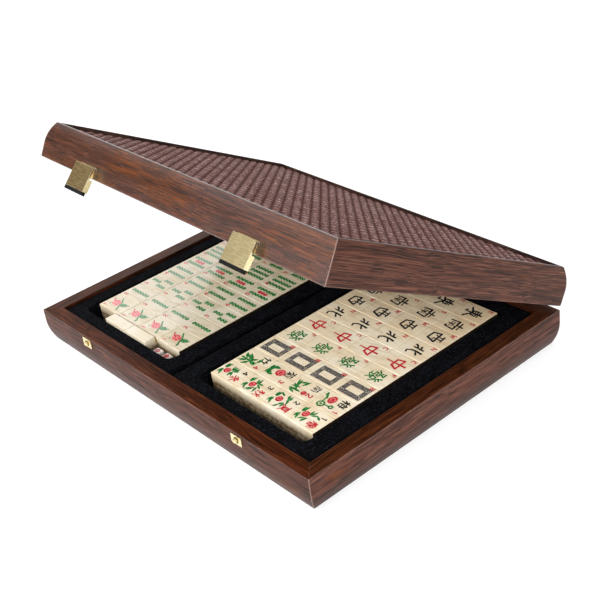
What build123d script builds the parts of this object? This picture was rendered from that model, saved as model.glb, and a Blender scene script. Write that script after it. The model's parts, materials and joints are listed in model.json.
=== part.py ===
from build123d import *

import os
from math import atan2, ceil, cos, sin, sqrt

# Mahjong set: a hinged wooden case that holds two flocked trays of tiles. Millimetres.
# X runs along the case, Y from front to back and Z up. The origin is at the middle of
# the surface that the case stands on, and the lid is modelled partly open.

# Case frame
case_length = 353.0
case_width = 269.5
base_height = 31.7
lid_height = 31.0
wall = 13.2
upright = 12.0           # straight part of each wall, next to the parting plane
tuck = 4.9               # how far a wall leans in at its far edge
edge_break = 0.6         # small bevel on the edges that meet when the lid is shut
far_radius = 1.0         # rounding of the outer edge away from the parting plane
lid_gap = 0.2            # between the two frames when the lid is shut
lid_opening = 29.2       # degrees, as modelled

# Base floor, flush with the undersides of the walls
floor_thickness = 4.0
floor_rebate = 4.0

# Lid top
lip = 2.4                # width of the frame's edge round the leather
leather_drop = 2.4       # from the lip down to the crests of the leather
leather_backing = 1.2
rib_pitch = 7.1
rib_height = 1.0
rib_valley = 0.8         # flat bottom between two ribs
rib_angle = -45.0        # degrees from the X axis
board_thickness = 4.0
lining_thickness = 1.5
lining_margin = 1.0

# Trays
tray_clearance = 0.4     # to the front and back walls
tray_left_gap = 0.6      # left tray to the left wall
tray_right_gap = 2.2     # right tray to the right wall
groove_width = 3.4       # between the two trays
groove_shift = 4.7       # groove's middle left of the case's middle
rim_drop = 2.2           # rim below the parting plane
rim_edge_radius = 2.6
front_rim = 13.0
back_rim = 14.4
pocket_length = 126.4
pocket_radius = 6.0
pocket_edge_radius = 1.0
left_pocket_shift = 0.75     # pocket's middle left of the left tray's middle
right_pocket_shift = 0.55    # the same in the right tray

# Tiles, which fill the pockets but for these gaps
tiles_across = 4
tiles_deep = 9
tile_layers = 2
tile_thickness = 10.8
tile_bevel = 0.8
tile_gap = 0.1           # between two tiles
finger_gap = 6.1         # block to the pocket's left side
tile_side_gap = 0.3      # block to the pocket's right side
tile_back_gap = 3.75     # left block to the pocket's back
right_front_gap = 9.3    # right block to the pocket's front
blank_clearance = 0.1    # room for a standing tile in front of the left block

# Dice, and the blank tiles beside them
dice_size = 8.0
dice_bevel = 1.0
dice_stack = 2
dice_side = 11.3         # right stack's middle to the pocket's right side
dice_pitch = 12.5        # between the two stacks
dice_front = 0.5         # dice to the pocket's front
pip_radius = 1.8         # the large single pip
pip_depth = 0.4
blank_count = 2
blank_gap = 6.2          # blanks to the left stack

# Hinges, which stand right behind the clasps
hinge_offset = 5.0       # pin axis behind the back wall
leaf_length = 38.0
leaf_depth = 10.0        # part of a leaf that lies on the wall
leaf_thickness = 1.4
leaf_clearance = 0.1
knuckle_radius = 2.4
knuckle_count = 3
knuckle_gap = 0.15
hinge_pin_radius = 1.2
pin_clearance = 0.05
hinge_pin_head = 0.6
screw_radius = 0.9
screw_length = 9.0
screw_head_radius = 1.9
screw_head_height = 0.7
screws_per_leaf = 2
screw_spacing = 24.0

# Clasps
clasp_left_inset = 72.5      # clasp's middle to the case's left end
clasp_right_inset = 78.5     # the same at the right end
clasp_length = 25.2
clasp_pin_height = 8.4   # pin axis above the lid's lower edge
clasp_pin_offset = 2.1   # pin axis in front of the lid's wall
clasp_pin_radius = 0.8
clasp_knuckle_radius = 1.3
bracket_thickness = 0.6
bracket_foot = 0.8       # bracket's lower edge above the lid's lower edge
ear_thickness = 1.0
ear_gap = 0.15           # between an ear and the flap's knuckle
flap_tilt = 14.0         # degrees out from the wall, as modelled
flap_front = 3.0         # flap's face in front of the pin axis
flap_thickness = 1.5
flap_rise = 1.0          # flap above the pin axis
flap_step = 9.0          # top of the hollow catch below the pin axis
flap_drop = 19.6         # bottom of the hollow catch below the pin axis
flap_back = 1.7          # hollow catch behind the pin axis
catch_wall = 1.2
catch_bar_height = 1.3
catch_clearance = 0.2    # round the stud and the strike plate
pad_height = 3.0
pad_thickness = 3.4

# Strikes
strike_length = 12.0
strike_height = 8.0
strike_thickness = 0.9
strike_drop = 1.4        # plate below the base's upper edge
strike_corner = 0.8
stud_radius = 2.0
stud_reach = 3.3         # stud's tip in front of the wall
stud_drop = 5.6          # stud's centre below the base's upper edge
stud_rounding = 0.6      # share of the stud's height that is domed
stud_pin_radius = 0.9
stud_pin_length = 6.0

# Places that follow from the sizes
parting = base_height
lid_foot = parting + lid_gap
hinge_axis_y = case_width / 2 + hinge_offset
hinge_axis_z = parting + lid_gap / 2
front_y = -case_width / 2
inner_length = case_length - 2 * wall
inner_width = case_width - 2 * wall
clasp_x = (-case_length / 2 + clasp_left_inset, case_length / 2 - clasp_right_inset)
rim_z = parting - rim_drop
pocket_floor = parting - tile_layers * tile_thickness
leather_top = lid_foot + lid_height - leather_drop
board_top = leather_top - rib_height - leather_backing
board_bottom = board_top - board_thickness
lining_bottom = board_bottom - lining_thickness

groove = (-groove_shift - groove_width / 2, -groove_shift + groove_width / 2)
left_tray_x = (-inner_length / 2 + tray_left_gap, groove[0])
right_tray_x = (groove[1], inner_length / 2 - tray_right_gap)
tray_y = (-inner_width / 2 + tray_clearance, inner_width / 2 - tray_clearance)
left_pocket_x = (sum(left_tray_x) - pocket_length) / 2 - left_pocket_shift
right_pocket_x = (sum(right_tray_x) - pocket_length) / 2 - right_pocket_shift
pocket_y = (tray_y[0] + front_rim, tray_y[1] - back_rim)
pocket_width = pocket_y[1] - pocket_y[0]

left_front_gap = tile_thickness + blank_clearance
tile_pitch_x = (pocket_length - finger_gap - tile_side_gap) / tiles_across
tile_pitch_y = (pocket_width - left_front_gap - tile_back_gap) / tiles_deep
tile_length = tile_pitch_x - tile_gap
tile_width = tile_pitch_y - tile_gap
left_block = (left_pocket_x + finger_gap, pocket_y[0] + left_front_gap)
right_block = (right_pocket_x + finger_gap, pocket_y[0] + right_front_gap)
dice_right = left_pocket_x + pocket_length - dice_side
dice_x = (dice_right - dice_pitch, dice_right)
blank_right = dice_x[0] - dice_size / 2 - blank_gap

parts = {}


def box(x, y, z):
    """Solid between two corners, each axis given as a pair."""
    size = (x[1] - x[0], y[1] - y[0], z[1] - z[0])
    return Pos((x[0] + x[1]) / 2, (y[0] + y[1]) / 2, (z[0] + z[1]) / 2) * Box(*size)


def rod_x(x, y, z, radius):
    """Round bar along X between the pair x."""
    return Pos((x[0] + x[1]) / 2, y, z) * Rot(0, 90, 0) * Cylinder(radius, x[1] - x[0])


def rod_y(x, y, z, radius):
    """Round bar along Y between the pair y."""
    return Pos(x, (y[0] + y[1]) / 2, z) * Rot(90, 0, 0) * Cylinder(radius, y[1] - y[0])


def rod_z(x, y, z, radius):
    """Round bar along Z between the pair z."""
    return Pos(x, y, (z[0] + z[1]) / 2) * Cylinder(radius, z[1] - z[0])


def opened(solid):
    """Swing a piece of the shut lid up round the hinge axis."""
    axis = Axis((0, hinge_axis_y, hinge_axis_z), (-1, 0, 0))
    return solid.rotate(axis, lid_opening)


def tilted(solid):
    """Swing a piece of a flap out round the clasp's pin."""
    axis = Axis((0, front_y - clasp_pin_offset, lid_foot + clasp_pin_height), (-1, 0, 0))
    return solid.rotate(axis, flap_tilt)


def keep(name, *solids):
    """Store the solids of one node."""
    parts[name] = solids[0] if len(solids) == 1 else Compound(children=list(solids))


# Wooden frames

def bowed_side(height):
    """Outer line of a wall: upright, then bowed in to its far edge. Given in depth and height."""
    rise = height - upright
    radius = (tuck ** 2 + rise ** 2) / (2 * tuck)
    half = atan2(rise, radius - tuck) / 2
    middle = (radius * (1 - cos(half)), upright + radius * sin(half))
    straight = Polyline((edge_break, 0), (0, edge_break), (0, upright))
    return straight + ThreePointArc((0, upright), middle, (tuck, height))


def base_section():
    """Section of a base wall, with the rebate for the floor."""
    shelf = base_height - floor_thickness
    side = bowed_side(base_height)
    inside = Polyline(
        (tuck, base_height), (wall - floor_rebate, base_height), (wall - floor_rebate, shelf),
        (wall, shelf), (wall, 0), (edge_break, 0))
    return rounded_far_edge(make_face(side + inside), base_height)


def lid_section():
    """Section of a lid wall, with the lip and the shelf that carries the top board."""
    shelf = board_bottom - lid_foot
    side = bowed_side(lid_height)
    inside = Polyline(
        (tuck, lid_height), (tuck + lip, lid_height), (tuck + lip, shelf),
        (wall, shelf), (wall, 0), (edge_break, 0))
    return rounded_far_edge(make_face(side + inside), lid_height)


def rounded_far_edge(section, height):
    """Round the outer edge away from the parting plane."""
    far = Vector(tuck, height, 0)
    corner = section.vertices().sort_by_distance(far)[0]
    return fillet(corner, far_radius)


def rail(section, length, width):
    """Front wall of a frame: the section along X, with both ends cut at 45 degrees."""
    bar = extrude(Plane.YZ * section, length / 2, both=True)
    reach = 2 * max(base_height, lid_height)
    plan = Polyline(
        (-length / 2, 0), (length / 2, 0), (length / 2 - wall, wall), (-length / 2 + wall, wall),
        close=True)
    wedge = extrude(make_face(plan), reach, both=True)
    return Pos(0, -width / 2, 0) * (bar & wedge)


def frame_rails(section, place):
    """The four mitred walls of a frame, named by side."""
    long_rail = rail(section, case_length, case_width)
    short_rail = rail(section, case_width, case_length)
    sides = {"front": (long_rail, 0), "right": (short_rail, 90)}
    sides.update({"back": (long_rail, 180), "left": (short_rail, 270)})
    return {side: place * Rot(0, 0, turn) * solid for side, (solid, turn) in sides.items()}


def make_base():
    rails = frame_rails(base_section(), Location())
    rails = {side: Pos(0, 0, parting) * mirror(solid, Plane.XY) for side, solid in rails.items()}
    rails["back"] -= hinge_recesses(below=True)
    rails["front"] -= strike_holes()
    for side, solid in rails.items():
        keep("base_" + side + "_rail", solid)
    half_x = inner_length / 2 + floor_rebate
    half_y = inner_width / 2 + floor_rebate
    keep("base_floor", box((-half_x, half_x), (-half_y, half_y), (0, floor_thickness)))


def make_lid():
    rails = frame_rails(lid_section(), Pos(0, 0, lid_foot))
    rails["back"] -= hinge_recesses(below=False)
    for side, solid in rails.items():
        keep("lid_" + side + "_rail", opened(solid))
    half_x = case_length / 2 - tuck - lip
    half_y = case_width / 2 - tuck - lip
    board = box((-half_x, half_x), (-half_y, half_y), (board_bottom, board_top))
    keep("lid_board", opened(board))
    keep("lid_leather", opened(ribbed_leather(half_x, half_y)))
    x = inner_length / 2 - lining_margin
    y = inner_width / 2 - lining_margin
    keep("lid_lining", opened(box((-x, x), (-y, y), (lining_bottom, board_bottom))))


def ribbed_leather(half_x, half_y):
    """Leather with rounded ribs that run slantwise from edge to edge."""
    reach = sqrt(half_x ** 2 + half_y ** 2)
    count = 2 * ceil(reach / rib_pitch)
    start = -count * rib_pitch / 2
    line = Polyline((start, 0), (start, -leather_backing), (-start, -leather_backing), (-start, 0))
    for index in range(count):
        left = start + index * rib_pitch
        right = left + rib_pitch - rib_valley
        line += ThreePointArc((left, 0), ((left + right) / 2, rib_height), (right, 0))
        line += Line((right, 0), (left + rib_pitch, 0))
    section = Plane.YZ * make_face(line)
    ribs = Rot(0, 0, rib_angle) * extrude(section, reach, both=True)
    top = board_top + leather_backing
    field = box((-half_x, half_x), (-half_y, half_y), (board_top, leather_top + rib_height))
    return Pos(0, 0, top) * ribs & field


# Trays, tiles and dice

def make_tray(name, x, pocket_x):
    """Flocked tray with one pocket and rounded rims."""
    body = box(x, tray_y, (floor_thickness, rim_z))
    top_edges = body.edges().filter_by_position(Axis.Z, rim_z, rim_z)
    body = fillet(top_edges, rim_edge_radius)
    centre = (pocket_x + pocket_length / 2, sum(pocket_y) / 2)
    pocket_plan = Pos(*centre, pocket_floor) * RectangleRounded(
        pocket_length, pocket_width, pocket_radius)
    body -= extrude(pocket_plan, rim_z - pocket_floor)
    mouth = body.edges().filter_by_position(Axis.Z, rim_z, rim_z)
    inner = [edge for edge in mouth if inside_rim(edge, x, tray_y)]
    keep(name, fillet(inner, pocket_edge_radius))


def inside_rim(edge, x, y):
    """True for an edge of the pocket's mouth, away from the tray's own outline."""
    centre = edge.center()
    margin = rim_edge_radius + 1.0
    return x[0] + margin < centre.X < x[1] - margin and y[0] + margin < centre.Y < y[1] - margin


def tile():
    """One tile lying flat, with its lowest corner at the origin and its two faces bevelled."""
    blank = box((0, tile_length), (0, tile_width), (0, tile_thickness))
    return chamfer(blank.edges().filter_by(Axis.Z, reverse=True), tile_bevel)


def tile_row(piece, x, y, z):
    return [Pos(x + index * tile_pitch_x, y, z) * piece for index in range(tiles_across)]


def make_tiles():
    """Top layers by row, each row one kind of tile, and the lower layers as whole blocks."""
    piece = tile()
    left_rows = ["bamboo_" + str(index + 1) for index in range(tiles_deep)]
    right_rows = ["flower", "season", "white_dragon", "green_dragon", "red_dragon",
                  "north", "west", "south", "east"]
    blocks = (("left", left_rows, left_block), ("right", right_rows, right_block))
    top = pocket_floor + (tile_layers - 1) * tile_thickness
    for side, rows, (x, y) in blocks:
        for index in range(tiles_deep):
            row = tile_row(piece, x, y + index * tile_pitch_y, top)
            keep(rows[index] + "_tiles", *row)
        lower = []
        for layer in range(tile_layers - 1):
            for index in range(tiles_deep):
                z = pocket_floor + layer * tile_thickness
                lower += tile_row(piece, x, y + index * tile_pitch_y, z)
        keep("lower_tiles_" + side, *lower)


def make_blanks():
    """Spare blank tiles, standing on a long edge in front of the left block."""
    standing = Rot(90, 0, 0) * tile()
    left = blank_right + tile_gap - blank_count * tile_pitch_x
    back = left_block[1] - blank_clearance / 2
    spots = [Pos(left + index * tile_pitch_x, back, pocket_floor) for index in range(blank_count)]
    keep("blank_tiles", *[spot * standing for spot in spots])


def die():
    """One die with its lowest corner at the origin and the large single pip sunk in its top."""
    cube = box((0, dice_size), (0, dice_size), (0, dice_size))
    cube = chamfer(cube.edges(), dice_bevel)
    middle = dice_size / 2
    return cube - rod_z(middle, middle, (dice_size - pip_depth, dice_size), pip_radius)


def make_dice():
    """Two stacks of dice in the front corner of the left pocket."""
    piece = die()
    dice = []
    for x in dice_x:
        for layer in range(dice_stack):
            z = pocket_floor + layer * dice_size
            dice.append(Pos(x - dice_size / 2, pocket_y[0] + dice_front, z) * piece)
    keep("dice", *dice)


# Hinges

def screw_spots(centre):
    """Centres of a leaf's screws."""
    y = case_width / 2 - leaf_depth / 2
    middle = (screws_per_leaf - 1) / 2
    return [(centre + (index - middle) * screw_spacing, y) for index in range(screws_per_leaf)]


def hinge_recesses(below):
    """Shallow seats for both leaves, and holes for their screws, in a back wall."""
    face = parting if below else lid_foot
    way = -1 if below else 1
    cut = []
    for centre in clasp_x:
        half = leaf_length / 2 + leaf_clearance
        y = (case_width / 2 - leaf_depth - leaf_clearance, case_width / 2 + hinge_offset)
        z = sorted((face + way * leaf_thickness, face - way * leaf_thickness))
        cut.append(box((centre - half, centre + half), y, z))
        for x, y in screw_spots(centre):
            depth = sorted((face, face + way * (screw_length + leaf_clearance)))
            cut.append(rod_z(x, y, depth, screw_radius + pin_clearance))
    return cut


def knuckle_spans(centre, below):
    """Stretches of the pin that belong to one leaf."""
    pitch = leaf_length / knuckle_count
    start = centre - leaf_length / 2
    first = 0 if below else 1
    spans = []
    for index in range(first, knuckle_count, 2):
        left = start + index * pitch + (knuckle_gap / 2 if index else 0)
        right = start + (index + 1) * pitch
        right -= knuckle_gap / 2 if index < knuckle_count - 1 else 0
        spans.append((left, right))
    return spans


def hinge_leaf(centre, below):
    """A leaf with its knuckles, drilled for the pin and the screws."""
    face = parting if below else lid_foot
    way = -1 if below else 1
    z = sorted((face, face + way * leaf_thickness))
    half = leaf_length / 2
    y = (case_width / 2 - leaf_depth, case_width / 2)
    leaf = box((centre - half, centre + half), y, z)
    for span in knuckle_spans(centre, below):
        leaf += rod_x(span, hinge_axis_y, hinge_axis_z, knuckle_radius)
        leaf += box(span, (y[1], hinge_axis_y), z)
    bore = (centre - leaf_length, centre + leaf_length)
    leaf -= rod_x(bore, hinge_axis_y, hinge_axis_z, hinge_pin_radius + pin_clearance)
    for x, spot_y in screw_spots(centre):
        leaf -= rod_z(x, spot_y, z, screw_radius + pin_clearance)
        seat = sorted((face, face + way * screw_head_height))
        leaf -= rod_z(x, spot_y, seat, screw_head_radius + pin_clearance)
    return leaf


def hinge_screws(centre, below):
    """Flat-headed screws, flush with the leaf."""
    face = parting if below else lid_foot
    way = -1 if below else 1
    screws = []
    for x, y in screw_spots(centre):
        head = rod_z(x, y, sorted((face, face + way * screw_head_height)), screw_head_radius)
        shank = rod_z(x, y, sorted((face, face + way * screw_length)), screw_radius)
        screws.append(head + shank)
    return screws


def hinge_pin(centre):
    """Pin with a thin head at each end of the knuckles."""
    half = leaf_length / 2
    pin = rod_x((centre - half, centre + half), hinge_axis_y, hinge_axis_z, hinge_pin_radius)
    for start in (centre - half - hinge_pin_head, centre + half):
        head = (start, start + hinge_pin_head)
        pin += rod_x(head, hinge_axis_y, hinge_axis_z, (hinge_pin_radius + knuckle_radius) / 2)
    return pin


def make_hinges():
    base_screws = []
    lid_screws = []
    for side, centre in zip(("left", "right"), clasp_x):
        keep("hinge_base_leaf_" + side, hinge_leaf(centre, below=True))
        keep("hinge_lid_leaf_" + side, opened(hinge_leaf(centre, below=False)))
        keep("hinge_pin_" + side, hinge_pin(centre))
        base_screws += hinge_screws(centre, below=True)
        lid_screws += [opened(screw) for screw in hinge_screws(centre, below=False)]
    keep("hinge_base_screws", *base_screws)
    keep("hinge_lid_screws", *lid_screws)


# Clasps

def clasp_bracket(centre):
    """Plate on the lid with an ear at each end that carries the pin."""
    y = front_y - clasp_pin_offset
    z = lid_foot + clasp_pin_height
    foot = lid_foot + bracket_foot
    half = clasp_length / 2
    bracket = box((centre - half, centre + half), (front_y - bracket_thickness, front_y),
                  (foot, z + clasp_knuckle_radius))
    for left in (centre - half, centre + half - ear_thickness):
        span = (left, left + ear_thickness)
        bracket += box(span, (y - clasp_knuckle_radius, front_y), (foot, z))
        bracket += box(span, (y, front_y), (z, z + clasp_knuckle_radius))
        bracket += rod_x(span, y, z, clasp_knuckle_radius)
    return bracket - rod_x((centre - half, centre + half), y, z, clasp_pin_radius + pin_clearance)


def clasp_flap(centre):
    """Hanging plate with a rolled knuckle and a hollow catch at its lower end."""
    y = front_y - clasp_pin_offset
    z = lid_foot + clasp_pin_height
    left = centre - clasp_length / 2
    right = centre + clasp_length / 2
    inner = (left + catch_wall, right - catch_wall)
    front = (y - flap_front, y - flap_front + flap_thickness)
    flap = box((left, right), front, (z - flap_drop, z + flap_rise))
    catch = box((left, right), (front[0], y + flap_back), (z - flap_drop, z - flap_step))
    hollow = box(inner, (front[1], y + flap_back), (z - flap_drop + catch_wall, z - flap_step))
    flap += catch - hollow
    bar_top = parting - stud_drop - stud_radius - catch_clearance
    bar_back = front_y - strike_thickness - catch_clearance
    flap += box(inner, (front[1], bar_back), (bar_top - catch_bar_height, bar_top))
    roll = (left + ear_thickness + ear_gap, right - ear_thickness - ear_gap)
    flap += box(roll, (front[1], y), (z - clasp_knuckle_radius, z + flap_rise))
    flap += rod_x(roll, y, z, clasp_knuckle_radius)
    return flap - rod_x((left, right), y, z, clasp_pin_radius + pin_clearance)


def clasp_pad(centre):
    """Dark strip under the flap's lower end."""
    y = front_y - clasp_pin_offset - flap_front
    z = lid_foot + clasp_pin_height - flap_drop
    half = clasp_length / 2
    return box((centre - half, centre + half), (y, y + pad_thickness), (z - pad_height, z))


def make_clasps():
    for side, centre in zip(("left", "right"), clasp_x):
        y = front_y - clasp_pin_offset
        z = lid_foot + clasp_pin_height
        half = clasp_length / 2
        keep("clasp_bracket_" + side, opened(clasp_bracket(centre)))
        pin = rod_x((centre - half, centre + half), y, z, clasp_pin_radius)
        keep("clasp_pin_" + side, opened(pin))
        keep("clasp_flap_" + side, opened(tilted(clasp_flap(centre))))
        keep("clasp_pad_" + side, opened(tilted(clasp_pad(centre))))


# Strikes

def strike_holes():
    """Holes in the front wall for the studs' pins."""
    depth = (front_y - strike_thickness, front_y + stud_pin_length + leaf_clearance)
    return [rod_y(x, depth, parting - stud_drop, stud_pin_radius + pin_clearance) for x in clasp_x]


def strike_plate(centre):
    """Small plate with rounded corners, drilled for the stud."""
    z = parting - strike_drop - strike_height / 2
    outline = Plane.XZ * RectangleRounded(strike_length, strike_height, strike_corner)
    plate = Pos(centre, front_y, z) * extrude(outline, strike_thickness)
    hole = (front_y - strike_thickness, front_y)
    return plate - rod_y(centre, hole, parting - stud_drop, stud_pin_radius + pin_clearance)


def stud(centre):
    """Domed stud that the flap's catch closes over, with its pin in the wall."""
    z = parting - stud_drop
    seat = front_y - strike_thickness
    tip = front_y - stud_reach
    head = rod_y(centre, (tip, seat), z, stud_radius)
    head = fillet(head.edges().group_by(Axis.Y)[0], (seat - tip) * stud_rounding)
    return head + rod_y(centre, (seat, front_y + stud_pin_length), z, stud_pin_radius)


def make_strikes():
    for side, centre in zip(("left", "right"), clasp_x):
        keep("strike_plate_" + side, strike_plate(centre))
        keep("strike_stud_" + side, stud(centre))


make_base()
make_lid()
make_tray("tray_left", left_tray_x, left_pocket_x)
make_tray("tray_right", right_tray_x, right_pocket_x)
make_tiles()
make_blanks()
make_dice()
make_hinges()
make_clasps()
make_strikes()

os.makedirs("parts", exist_ok=True)
for name, solid in parts.items():
    export_step(solid, os.path.join("parts", name + ".step"))
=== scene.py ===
import json
from math import ceil, cos, hypot, pi, radians, sin, tau

import bmesh
import bpy
import numpy as np
from mathutils import Matrix, Vector


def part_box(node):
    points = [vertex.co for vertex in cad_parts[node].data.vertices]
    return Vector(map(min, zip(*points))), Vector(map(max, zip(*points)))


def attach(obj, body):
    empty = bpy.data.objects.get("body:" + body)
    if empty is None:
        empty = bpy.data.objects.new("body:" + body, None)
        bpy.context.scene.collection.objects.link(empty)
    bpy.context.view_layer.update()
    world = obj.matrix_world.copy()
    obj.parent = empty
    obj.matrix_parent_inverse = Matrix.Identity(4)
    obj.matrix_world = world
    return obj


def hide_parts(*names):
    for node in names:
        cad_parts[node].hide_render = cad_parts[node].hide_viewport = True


# Mahjong set: looks of a walnut case with a woven leather lid, two flocked trays,
# ivory tiles, dice and brass clasps. Metres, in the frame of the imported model.

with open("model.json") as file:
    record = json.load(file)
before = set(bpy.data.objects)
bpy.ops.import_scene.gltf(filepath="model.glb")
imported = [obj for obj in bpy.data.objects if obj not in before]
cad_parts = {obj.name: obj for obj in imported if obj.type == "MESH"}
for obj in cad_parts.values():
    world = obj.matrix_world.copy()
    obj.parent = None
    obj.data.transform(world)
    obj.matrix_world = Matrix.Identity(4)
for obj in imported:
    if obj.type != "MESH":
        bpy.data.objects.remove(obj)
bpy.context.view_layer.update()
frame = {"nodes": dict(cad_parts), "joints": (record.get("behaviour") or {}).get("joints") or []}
nodes = frame["nodes"]
joints = {joint["name"]: joint for joint in frame["joints"]}
mm = 0.001

# Tiles, their marks and the dice
tile_rounding = 0.6 * mm
broad_face = 25 * mm * mm    # faces larger than this are a tile's flat sides
shade_start = 1.5 * mm       # the shade of the pockets begins this far below the tiles' tops
lid_shade_reach = 0.11            # tiles this far behind the case's middle carry the most painted shade, browner under the lid
blank_count = 2
shade_line_width = 0.9 * mm        # painted shade: brown line along the blank tiles
shade_line_drop = 7 * mm           # and down their end
mark_lift = 0.03 * mm        # painted marks above the tile's face
stroke_levels = 8            # strokes of one ink lie a hair apart where they cross
stroke_lift = mark_lift / 12
letter_width = 0.95          # in millimetres, like every mark
stick_width = 4.1            # bamboo sticks
stick_length = 11.7
dice_size = 8 * mm
pip_width = 3.55 * mm
pip_rim = 5.3 * mm           # outside of the red that runs over the pip's edge
pip_depth = 0.4 * mm
ring_sides = 20              # sides of a pip and of the ring round a stud

# Strikes
stud_shadow_width = 5.6 * mm      # painted shadow: dark ring round a stud

# Leather
strip_width = 7.08 * mm
weave_shift = 1.08 * mm      # first valley from the lid's middle
strip_relief = 1.6 * mm      # crest of a strip above the valley beside it
strip_fullness = 2.2         # how full a strip's round back is
dip = 0.45                   # height of a strip where it goes under, before its back is rounded
weave_samples = 8            # mesh points across one strip
weave_turn = radians(-44.1)  # strips lie slantwise to the lid's sides

# Camera, as the photograph was taken
camera_azimuth = radians(52.678)
camera_elevation = radians(30.885)
camera_roll = radians(-8.069)
camera_distance = 948.764 * mm
camera_offset = (10.234 * mm, 7.82 * mm)
focal_share = 1133.213 / 600  # focal length over the frame's width
target_height = 31.7 * mm

# Floor and light
floor_reach = 6.0
floor_drop = 0.1 * mm        # below the case's feet
floor_glow = 0.68            # brings the floor that is seen to white
ambient = 0.6                # what the white room adds to matt surfaces
lamp_aim = (0, 0, 0.05)
dim_side = Vector((-0.92, -0.34, 0.20)).normalized()
dim_colour = (0.18, 0.13, 0.085, 1)
white = (1, 1, 1, 1)


# Node helpers

def put(tree, kind, values=(), **settings):
    """Add a node and set it up. A socket among the values is joined, anything else is set."""
    made = tree.nodes.new(kind)
    for name, value in settings.items():
        setattr(made, name, value)
    for key, value in dict(values).items():
        if isinstance(value, bpy.types.NodeSocket):
            tree.links.new(value, made.inputs[key])
        else:
            made.inputs[key].default_value = value
    return made


def blend(tree, mask, first, second, mode="MIX"):
    """Colour from first to second by a mask."""
    values = {0: mask, 6: first, 7: second}
    return put(tree, "ShaderNodeMix", values, data_type="RGBA", blend_type=mode).outputs[2]


def arithmetic(tree, operation, first, second):
    return put(tree, "ShaderNodeMath", {0: first, 1: second}, operation=operation).outputs[0]


def between(tree, mask, low, high):
    """Value from low to high by a mask."""
    return put(tree, "ShaderNodeMapRange", {0: mask, 3: low, 4: high}).outputs[0]


def ramp(tree, value, start, end):
    """Mask that grows from 0 where the value is at the start to 1 where it is at the end."""
    return put(tree, "ShaderNodeMapRange", {0: value, 1: start, 2: end}).outputs[0]


def dot(tree, first, second):
    """How far two directions agree, times their lengths."""
    values = {0: first, 1: second}
    return put(tree, "ShaderNodeVectorMath", values, operation="DOT_PRODUCT").outputs["Value"]


def scaled(tree, vector, size):
    values = {0: vector, "Scale": size}
    return put(tree, "ShaderNodeVectorMath", values, operation="SCALE").outputs[0]


def start_group(name, output, **inputs):
    """Node group with one output. Its inputs are numbers, or places where no value is given."""
    tree = bpy.data.node_groups.new(name, "ShaderNodeTree")
    for label, value in inputs.items():
        kind = "NodeSocketVector" if value is None else "NodeSocketFloat"
        socket = tree.interface.new_socket(label, in_out="INPUT", socket_type=kind)
        if value is not None:
            socket.default_value = value
    label, kind = output
    tree.interface.new_socket(label, in_out="OUTPUT", socket_type=kind)
    given = tree.nodes.new("NodeGroupInput").outputs
    return tree, given, tree.nodes.new("NodeGroupOutput").inputs[label]


def use_group(tree, effect, **values):
    """What an effect puts out for these inputs."""
    return put(tree, "ShaderNodeGroup", values, node_tree=effect).outputs[0]


def draw_out(tree, place, share):
    """Place with only a share of its X, which draws out along X what is made from it."""
    x, y, z = put(tree, "ShaderNodeSeparateXYZ", {0: place}).outputs
    along = arithmetic(tree, "MULTIPLY", x, share)
    return put(tree, "ShaderNodeCombineXYZ", {0: along, 1: y, 2: z}).outputs[0]


def noise_mask(tree, place, given):
    """Noise as a mask, by the scale, detail and levels that a group is given."""
    noise = put(tree, "ShaderNodeTexNoise", {
        "Vector": place, "Scale": given["Scale"], "Detail": given["Detail"]})
    values = {0: noise.outputs[0], 1: given["Low"], 2: given["High"]}
    return put(tree, "ShaderNodeMapRange", values, interpolation_type="SMOOTHSTEP").outputs[0]


# Effects that several materials share

mask_output = ("Mask", "NodeSocketFloat")


def make_speckle():
    """Cloudy or grainy mask."""
    tree, given, out = start_group(
        "speckle", mask_output, Vector=None, Scale=100, Detail=3, Low=0.35, High=0.65)
    tree.links.new(noise_mask(tree, given["Vector"], given), out)
    return tree


def make_streaks():
    """Mask drawn out along X, as wood grain or brush lines are."""
    tree, given, out = start_group("streaks", mask_output, Vector=None, Scale=300, Stretch=0.06,
                                   Detail=3, Low=0.35, High=0.65)
    drawn = draw_out(tree, given["Vector"], given["Stretch"])
    tree.links.new(noise_mask(tree, drawn, given), out)
    return tree


def make_relief():
    """Normal for a surface whose sharp edges are eased and whose height varies."""
    tree, given, out = start_group(
        "relief", ("Normal", "NodeSocketVector"), Height=0, Depth=0.1 * mm, Edge=0.4 * mm)
    eased = put(tree, "ShaderNodeBevel", {"Radius": given["Edge"]}, samples=4)
    bump = put(tree, "ShaderNodeBump", {
        "Strength": 1, "Distance": given["Depth"], "Height": given["Height"],
        "Normal": eased.outputs[0]})
    tree.links.new(bump.outputs[0], out)
    return tree


def make_wander():
    """Place that drifts a little, so that lines drawn by it bend as grain does."""
    tree, given, out = start_group(
        "wander", ("Vector", "NodeSocketVector"), Vector=None, Scale=28, Reach=6 * mm)
    drawn = draw_out(tree, given["Vector"], 0.5)
    noise = put(tree, "ShaderNodeTexNoise", {
        "Vector": drawn, "Scale": given["Scale"], "Detail": 2})
    drift = put(tree, "ShaderNodeVectorMath", {0: noise.outputs[1], 1: (0.5, 0.5, 0.5)},
                operation="SUBTRACT").outputs[0]
    drift = scaled(tree, drift, given["Reach"])
    drifted = put(tree, "ShaderNodeVectorMath", {0: given["Vector"], 1: drift})
    tree.links.new(drifted.outputs[0], out)
    return tree


def make_arris():
    """Mask along sharp edges, out to a radius."""
    tree, given, out = start_group("arris", mask_output, Radius=0.8 * mm)
    eased = put(tree, "ShaderNodeBevel", {"Radius": given["Radius"]}, samples=6)
    flat = tree.nodes.new("ShaderNodeNewGeometry").outputs["Normal"]
    likeness = dot(tree, eased.outputs[0], flat)
    tree.links.new(ramp(tree, likeness, 0.99, 0.80), out)
    return tree


speckle = make_speckle()
streaks = make_streaks()
wander = make_wander()
arris = make_arris()
relief = make_relief()


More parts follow.
